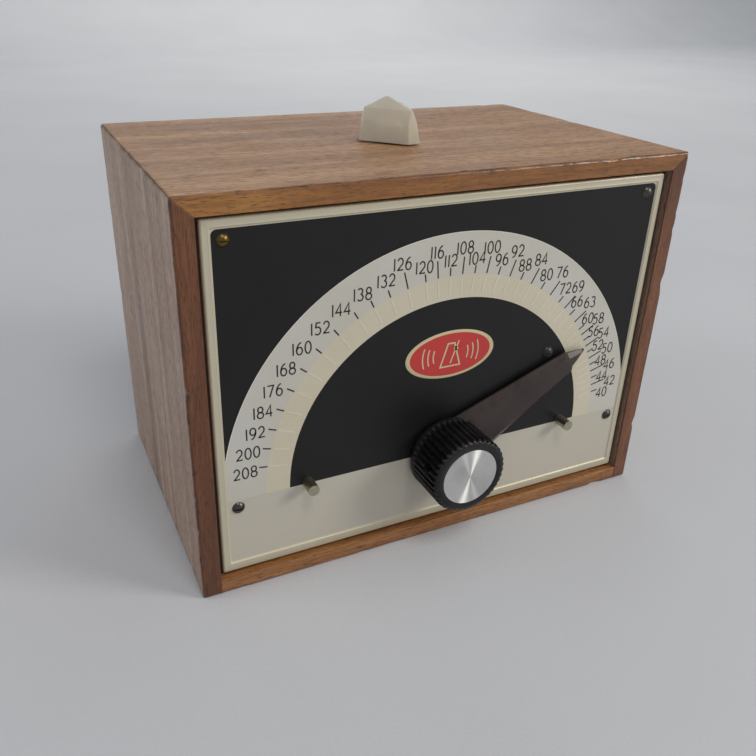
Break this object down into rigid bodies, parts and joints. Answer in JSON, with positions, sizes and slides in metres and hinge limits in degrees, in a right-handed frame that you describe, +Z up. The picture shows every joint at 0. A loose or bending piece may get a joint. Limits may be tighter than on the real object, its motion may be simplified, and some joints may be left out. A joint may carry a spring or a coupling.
{
  "type": "electric metronome",
  "caption": "Mains-driven tempo beater in a walnut case: a knob with a pointer sets the beat on a printed dial and a lamp lens on top flashes.",
  "frame": {"origin": "middle of the case's flat underside", "axes": "+X to the right of the dial seen from the front, +Y to the back (the dial faces -Y), +Z up"},
  "size_m": [0.159, 0.1148, 0.1323],
  "materials": {
    "walnut": "satin",
    "pine": "matte",
    "dial_enamel": "satin",
    "dark_steel": "satin",
    "brass": "satin",
    "steel": "satin",
    "black_steel": "satin",
    "lamination": "matte",
    "fibre": "matte",
    "lens": "gloss",
    "glass": "gloss",
    "bakelite": "satin",
    "hardboard": "matte",
    "rubber": "matte",
    "aluminium": "brushed"
  },
  "bodies": {
    "case": {"case_top": "walnut", "case_left": "walnut", "case_right": "walnut", "case_bottom": "walnut", "front_cleats": "pine", "rear_cleats": "pine", "dial_plate": "dial_enamel", "plate_screws": "dark_steel", "plate_screw_brass": "brass", "stop_pins": "steel", "spindle_bush": "brass", "bush_nut": "brass", "chassis": "steel", "chassis_spacer": "brass", "chassis_screw": "black_steel", "foot_screws": "dark_steel", "motor_posts": "steel", "motor_bracket": "steel", "field_core": "lamination", "field_coil": "fibre", "motor_bridge": "steel", "slide_rail": "steel", "beat_bushes": "brass", "hammer_pin": "steel", "sound_post": "pine", "contact_stack": "fibre", "lamp_lens": "lens", "lens_gasket": "rubber", "neon_lamp": "glass", "lamp_holder": "bakelite", "lamp_screws": "steel", "ballast_resistor": "fibre", "back_panel": "hardboard", "back_screws": "dark_steel", "cord_grommet": "rubber", "switch_body": "bakelite", "switch_nut": "steel"},
    "pointer": {"pointer_knob": "bakelite", "knob_inlay": "aluminium", "knob_set_screw": "dark_steel", "control_shaft": "steel", "shaft_pinion": "brass"},
    "carriage": {"rack_bar": "brass", "roller_fork": "brass"},
    "roller": {"roller_hub": "brass", "roller_tyre": "rubber"},
    "beat": {"beat_shaft": "steel", "beat_cam": "fibre"},
    "turntable": {"drive_disc": "steel", "disc_shaft": "steel", "disc_gear": "brass"},
    "rotor": {"rotor_drum": "steel", "rotor_shaft": "steel", "rotor_pinion": "brass"},
    "hammer": {"hammer_arm": "steel", "hammer_head": "brass"},
    "blade": {"contact_blade": "brass"},
    "switch": {"switch_lever": "steel"}
  },
  "joints": [
    {"name": "pointer_turn", "type": "hinge", "parent": "case", "child": "pointer", "pos_m": [0, -0.05, 0.0305], "axis": [0, -1, 0], "range_deg": [-19, 143]},
    {"name": "carriage_slide", "type": "slide", "parent": "case", "child": "carriage", "axis": [1, 0, 0], "range_m": [-0.0184, 0.0025]},
    {"name": "beat_spin", "type": "hinge", "parent": "case", "child": "beat", "pos_m": [0, -0.02, 0.058], "axis": [1, 0, 0], "continuous": true},
    {"name": "roller_slide", "type": "slide", "parent": "beat", "child": "roller", "axis": [1, 0, 0], "range_m": [-0.0184, 0.0025]},
    {"name": "disc_spin", "type": "hinge", "parent": "case", "child": "turntable", "pos_m": [0.012, -0.01, 0.058], "axis": [0, 1, 0], "continuous": true},
    {"name": "rotor_spin", "type": "hinge", "parent": "case", "child": "rotor", "pos_m": [0.012, 0.02, 0.0832], "axis": [0, 1, 0], "continuous": true},
    {"name": "hammer_lift", "type": "hinge", "parent": "case", "child": "hammer", "pos_m": [-0.035, -0.027, 0.072], "axis": [1, 0, 0], "range_deg": [0, 12]},
    {"name": "blade_flex", "type": "hinge", "parent": "case", "child": "blade", "pos_m": [-0.035, -0.0285, 0.0462], "axis": [-1, 0, 0], "range_deg": [0, 2.5], "stiffness_Nm_per_rad": 0.02},
    {"name": "switch_throw", "type": "hinge", "parent": "case", "child": "switch", "pos_m": [0.048, 0.043, 0.092], "axis": [1, 0, 0], "range_deg": [-20, 0]}
  ],
  "couplings": [
    {"joint": "carriage_slide", "follows": "pointer_turn", "m_per_rad": -0.00735},
    {"joint": "roller_slide", "follows": "pointer_turn", "m_per_rad": -0.00735},
    {"joint": "disc_spin", "follows": "rotor_spin", "ratio": -0.16667},
    {"joint": "beat_spin", "follows": "rotor_spin", "ratio": -0.13667}
  ]
}
